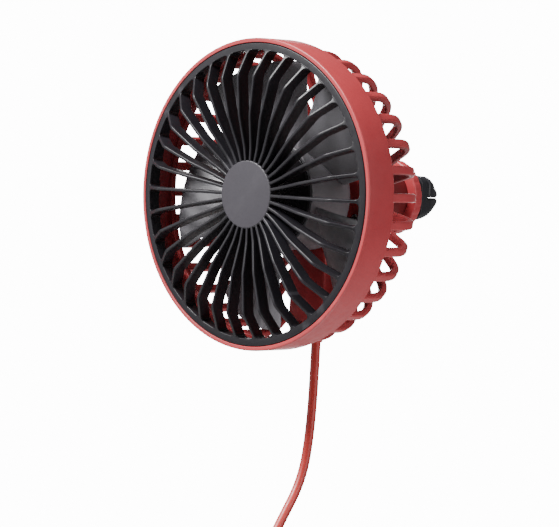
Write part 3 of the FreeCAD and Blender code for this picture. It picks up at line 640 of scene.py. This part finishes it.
def make_grille():
    """Outer ring, fan of deep slats dished forwards, and the flat centre disc."""
    shape = Shape()
    lathe(shape, [
        (-0.45, SLOT_OUTER - 0.05, 0.25), (-0.05, 51.25, 0.3), (2.1, 51.25, 0.2), (2.1, 49.9, 0.2),
        (4.2, 49.9, 0.2), (4.2, SLOT_OUTER - 0.05, 0.3),
    ], count=240)
    spine = dish_spine()
    for i in range(SLATS):
        angle = TURN * (i + 0.5) / SLATS
        across = Vector((math.cos(angle), 0.0, -math.sin(angle))) * MM
        rings = []
        for spot in spine:
            centre = around(spot.x, spot.y, angle)
            rings.append([centre + across * point.x + Vector((0.0, point.y * MM, 0.0))
                          for point in slat_outline(spot.x)])
        shape.rings(rings, caps=True)
    finish_mesh("front_grille_shape", shape.mesh("front_grille"), BLACK,
                node_names=["front_grille"])
    disc = Shape()
    lathe(disc, [(-3.05, 0.02), (-3.05, 11.55, 0.45), (1.6, 11.3, 0.4), (1.6, 0.02)], count=120)
    finish_mesh("grille_disc", disc.mesh("grille_disc"), DISC)


make_grille()

# ---------------------------------------------------------------- impeller

BLADES = 5
BLADE_START = math.radians(34.0 + 90.0)
BLADE_STATIONS, CHORD_STEPS = 22, 26
ROOT, END = 16.4, 47.0          # radii where the blade's taper is measured
ROOT_HALF, END_HALF = 7.6, 20.5
ROOT_FRONT, END_FRONT = 11.5, 8.6
ROOT_BACK, END_BACK = 25.0, 19.0
BLADE_INNER, BLADE_TIP = 17.6, 45.95
HALF_THICK, CAMBER = 0.78, 1.15
TIP_ROUND, TIP_NARROW = 0.86, 0.05


def blade_rings():
    """Sections of one blade from hub to tip, each a thin lens with rounded edges."""
    ahead = [k / CHORD_STEPS for k in range(CHORD_STEPS)]
    surface = [(1, along) for along in ahead] + [(-1, 1 - along) for along in ahead]
    rings = []
    for i in range(BLADE_STATIONS + 1):
        share = i / BLADE_STATIONS
        radius = blend(BLADE_INNER, BLADE_TIP, share)
        grow = (radius - ROOT) / (END - ROOT)
        front, back = blend(ROOT_FRONT, END_FRONT, grow), blend(ROOT_BACK, END_BACK, grow)
        past = max(0.0, (share - TIP_ROUND) / (1 - TIP_ROUND))
        half = blend(ROOT_HALF, END_HALF, grow) * (1.0 - TIP_NARROW * past * past)
        bow = CAMBER * math.sin(math.pi * min(1.0, 0.25 + 0.75 * share) / 2)
        loop = []
        for side, along in surface:
            position = math.cos(math.pi * along)
            thick = HALF_THICK * math.sqrt(max(1 - position ** 4, 0.0)) * side
            lift = front + (back - front) * (1 - position) / 2 + 0.75 - bow * (1 - position ** 2)
            up = position * half
            spread = radius
            if share > 0:
                spread = math.sqrt(max(radius ** 2 - up ** 2 * share, radius ** 2 * 0.5))
            loop.append(Vector((blend(radius, spread, share), lift + thick, up)))
        rings.append(loop)
    return rings


def turn_about_axis(point, turn):
    """A blade point (across, back, up) turned about the fan's axis and put in place."""
    turned = turn @ Vector((point.x, 0.0, point.z))
    return place(turned.x, point.y, turned.z)


def make_impeller():
    """Cupped hub with five pitched, slightly cambered blades."""
    shape = Shape()
    lathe(shape, [
        (10.9, 0.02), (10.9, 17.4, 0.15), (10.0, 17.6, 0.2), (10.0, 18.8, 0.5), (29.0, 18.8, 0.3),
        (29.0, 17.4, 0.3), (12.4, 17.4, 0.5), (12.4, 3.6, 0.4), (20.0, 3.4, 0.3), (20.0, 0.02),
    ], count=140)
    rings = blade_rings()
    for i in range(BLADES):
        turn = Matrix.Rotation(BLADE_START - math.pi / 2 + TURN * i / BLADES, 3, "Y")
        shape.rings([[turn_about_axis(point, turn) for point in ring] for ring in rings], caps=True)
    finish_mesh("impeller_shape", shape.mesh("impeller"), SILVER, "rotor",
                ["impeller"])
    cap = Shape()
    lathe(cap, [(10.0, 0.02), (10.0, 17.3, 0.35), (10.85, 17.3), (10.85, 0.02)], count=120)
    for ring in (6.0, 12.0):
        lathe(cap, [(9.85, ring, 0.1), (9.85, ring + 0.5, 0.1), (10.2, ring + 0.5), (10.2, ring)],
              count=96)
    finish_mesh("hub_cap_shape", cap.mesh("hub_cap"), CAP, "rotor", ["hub_cap"])


make_impeller()

# ---------------------------------------------------------------- motor pod, ball joint and clip

NUT_FLUTES, FLUTE_STEPS, FLUTE_DEPTH = 28, 8, 0.16
GRIP_RADIUS = 12.6              # the flutes run outside this radius


def make_pod():
    """Motor pod, its neck and the ring nut that holds the ball; the neck's red is darkened as painted
    shade.
    """
    shape = Shape()
    lathe(shape, [
        (41.35, 16.4), (41.35, 18.0, 0.25), (52.8, 17.7, 0.6), (55.6, 14.6, 0.8),
        (55.6, 9.6, 0.8), (54.0, 9.6), (54.0, 14.2), (52.2, 16.3),
    ], count=140)
    finish_mesh("motor_cover_shape", shape.mesh("motor_cover"), RED,
                node_names=["motor_cover"])
    neck = Shape()
    lathe(neck, [
        (54.05, 9.55), (55.6, 9.8), (70.9, 9.8, 0.4), (70.9, 6.3, 0.3), (62.0, 3.0), (54.05, 3.0),
    ], count=120)
    # The neck gets the darker red as painted shade, not as a different plastic.
    finish_mesh("socket_neck", neck.mesh("socket_neck"), RED_PAINTED_SHADE)
    nut = Shape()
    outline = rounded([(69.5, 9.95), (69.5, 13.5, 0.7), (73.4, 13.5, 0.9), (73.4, 5.4, 0.3),
                       (72.0, 4.65, 0.2), (71.0, 5.4), (71.0, 9.95)])
    rings = []
    count = NUT_FLUTES * FLUTE_STEPS
    for i in range(count):
        angle = TURN * i / count
        dip = FLUTE_DEPTH * (0.5 + 0.5 * math.cos(angle * NUT_FLUTES)) ** 3
        rings.append([around(point.y - (dip if point.y > GRIP_RADIUS else 0.0), point.x, angle)
                      for point in outline])
    nut.rings(rings, closed_run=True)
    finish_mesh("socket_nut_shape", nut.mesh("socket_nut"), RED,
                node_names=["socket_nut"])
    softened("ball_stud", 0.2, BLACK, "stud")


CLIP_ROUND, SLOT_HALF = 3.6, 0.6
CLIP_SIDE = [                   # half the clip's width along its length: (back, half)
    (79.0, 8.1), (82.4, 7.7), (85.8, 6.9), (89.0, 5.7), (91.5, 4.5), (93.3, 3.3), (94.35, 2.3),
    (94.75, 1.5),
]
PRONG_STATIONS = [82.4 + 0.6 * k for k in range(21)] + [94.75]
STEP_FRONT, STEP_BACK, STEP_RISE = 84.0, 88.0, 0.45
PAD_FRONT, PAD_BACK, PAD_RIDGES, PAD_PITCH = 85.4, 93.35, 9, 0.88
PAD_SIDES = (0.75, 0.9, 2.7, 2.85)
QUARTERS = [(side, up) for side in (1, -1) for up in (1, -1)]


def clip_half_at(back):
    """Half the clip's width: tapering sides and a rounded nose."""
    for (start, wide), (end, narrow) in zip(CLIP_SIDE, CLIP_SIDE[1:]):
        if back <= end:
            share = (back - start) / (end - start)
            return blend(wide, narrow, share)
    return CLIP_SIDE[-1][1]


def prong_outline(half, gap, side, up):
    """One quarter of the rounded square, less half of each slot."""
    corner = min(CLIP_ROUND, (half - gap) * 0.85)
    corners = [(gap, gap, 0.25), (half, gap, 0.3), (half, half, corner), (gap, half, 0.3)]
    points = rounded(corners, True, 10.0)
    return [(point.x * side, point.y * up) for point in points]


def make_clip():
    """Four springy prongs, stepped on top, growing out of a short rounded-square base."""
    shape = Shape()
    base = []
    for inset, back in ((0.5, 79.0), (0.15, 79.15), (0.0, 79.5), (0.0, 82.3), (0.1, 82.9)):
        half = clip_half_at(back) - inset
        corners = [(-half, -half, CLIP_ROUND), (half, -half, CLIP_ROUND),
                   (half, half, CLIP_ROUND), (-half, half, CLIP_ROUND)]
        base.append([place(point.x, back, point.y) for point in rounded(corners, True, 10.0)])
    shape.rings(base, caps=True)
    for side, up in QUARTERS:
        rings = []
        for back in PRONG_STATIONS:
            half = max(clip_half_at(back), SLOT_HALF + 0.5)
            if up > 0 and STEP_FRONT < back < STEP_BACK:
                half += STEP_RISE
            outline = prong_outline(half, SLOT_HALF, side, up)
            rings.append([place(across, back, height) for across, height in outline])
        shape.rings(rings, caps=True)
    finish_mesh("vent_clip_shape", shape.mesh("vent_clip"), CLIP, "clip",
                ["vent_clip"], 34.0)


def make_pads():
    """Ridged rubber pads that line the level slot and nearly meet."""
    pads = Shape()
    ridges = []
    for k in range(PAD_RIDGES):
        start = PAD_FRONT + PAD_PITCH * k
        ridges += [(start, 0.26), (start + 0.3, 0.08), (start + 0.6, 0.08), (start + 0.85, 0.26)]
    outline = ridges + [(PAD_BACK, 1.2), (PAD_FRONT, 1.2)]
    for side, up in QUARTERS:
        pads.rings([[place(across * side, back, height * up) for back, height in outline]
                    for across in PAD_SIDES], caps=True)
    finish_mesh("clip_grips_shape", pads.mesh("clip_grips"), RUBBER, "clip",
                ["clip_grips"], 30.0)


make_pod()
make_clip()
make_pads()

# ---------------------------------------------------------------- small and inner pieces

LOOKS = {
    "steel": STEEL, "plug_metal": NICKEL, "bronze": BRONZE, "white_nylon": NYLON, "magnet": FERRITE,
    "board": BOARD, "red_cord": CORD, "black_plastic": BLACK, "grey_plastic": BLACK,
    "grip_rubber": RUBBER, "red_plastic": RED, "silver_plastic": SILVER, "dark_cap": CAP,
}


def dress_nodes():
    """Give every remaining CAD node the look of its material slot."""
    for entry in frame["record"]["subparts"]:
        mesh = nodes[entry["node"]].data
        mesh.materials.clear()
        mesh.materials.append(LOOKS[entry["material_slot"]])


dress_nodes()

# ---------------------------------------------------------------- light and floor

def area_light(name, spot, target, size, power):
    """A soft rectangular lamp aimed at a point."""
    data = bpy.data.lights.new(name, "AREA")
    data.shape = "RECTANGLE"
    data.size, data.size_y = size
    data.energy = power
    lamp = bpy.data.objects.new(name, data)
    bpy.context.scene.collection.objects.link(lamp)
    lamp.location = spot
    lamp.rotation_euler = (Vector(target) - Vector(spot)).to_track_quat("-Z", "Y").to_euler()


def make_world():
    """Soft grey surroundings with a white backdrop in one direction, behind the fan."""
    world = bpy.data.worlds.new("studio")
    world.use_nodes = True
    tree = world.node_tree
    facing = tree.nodes.new("ShaderNodeVectorMath")
    facing.operation = "DOT_PRODUCT"
    facing.inputs[1].default_value = Vector(CAMERA_UP).cross(Vector(CAMERA_RIGHT))
    glow = tree.nodes.new("ShaderNodeMapRange")
    glow.interpolation_type = "SMOOTHSTEP"
    for key, value in zip(("From Min", "From Max", "To Min", "To Max"),
                          (*BACKDROP_EDGE, WORLD_DIM, WORLD_BRIGHT)):
        glow.inputs[key].default_value = value
    tree.links.new(tree.nodes.new("ShaderNodeTexCoord").outputs["Generated"], facing.inputs[0])
    tree.links.new(facing.outputs["Value"], glow.inputs["Value"])
    backdrop = tree.nodes["Background"]
    backdrop.inputs["Color"].default_value = (1.0, 1.0, 1.0, 1.0)
    tree.links.new(glow.outputs["Result"], backdrop.inputs["Strength"])
    bpy.context.scene.world = world


def make_floor():
    """A pale floor well below the hanging plug, because the fan hangs in the air."""
    mesh = bpy.data.meshes.new("floor")
    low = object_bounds()[0][2] - FLOOR_DROP
    corners = [(-FLOOR_HALF, -FLOOR_HALF), (FLOOR_HALF, -FLOOR_HALF), (FLOOR_HALF, FLOOR_HALF),
               (-FLOOR_HALF, FLOOR_HALF)]
    mesh.from_pydata([(*corner, low) for corner in corners], [], [(0, 1, 2, 3)])
    floor = bpy.data.objects.new("floor", mesh)
    bpy.context.scene.collection.objects.link(floor)
    paint = Shader("floor_look", (0.8, 0.8, 0.8), 0.6)
    paint.paint(paint.ramp(paint.noise(3.0, 2.0), (0.78, 0.78, 0.78), (0.82, 0.82, 0.82)))
    mesh.materials.append(paint.material)


WORLD_DIM, WORLD_BRIGHT = 0.22, 14.0
BACKDROP_EDGE = (0.95, 0.988)   # cosines of the angles where the backdrop begins and is full
FLOOR_DROP, FLOOR_HALF = 0.9, 3
MIDDLE = (0.0, RIM_Y + 0.03, 0.0)
LAMPS = {                       # spot, size in metres, power in watts
    "mirror_softbox": ((-0.75, RIM_Y - 0.80, 0.12), (0.8, 0.9), 4.0),
    "front_softbox": ((-0.35, RIM_Y - 0.95, 1.15), (0.6, 0.6), 105.0),
    "right_strip": ((0.95, 0.05, 0.25), (0.4, 1.0), 7.5),
    "top_softbox": ((0.15, RIM_Y + 0.05, 0.95), (0.7, 0.5), 1.5),
    "low_softbox": ((0.20, RIM_Y + 0.05, -0.90), (0.7, 0.5), 3.5),
}

make_world()
make_floor()
for lamp_name, (lamp_spot, lamp_size, lamp_power) in LAMPS.items():
    area_light(lamp_name, lamp_spot, MIDDLE, lamp_size, lamp_power)
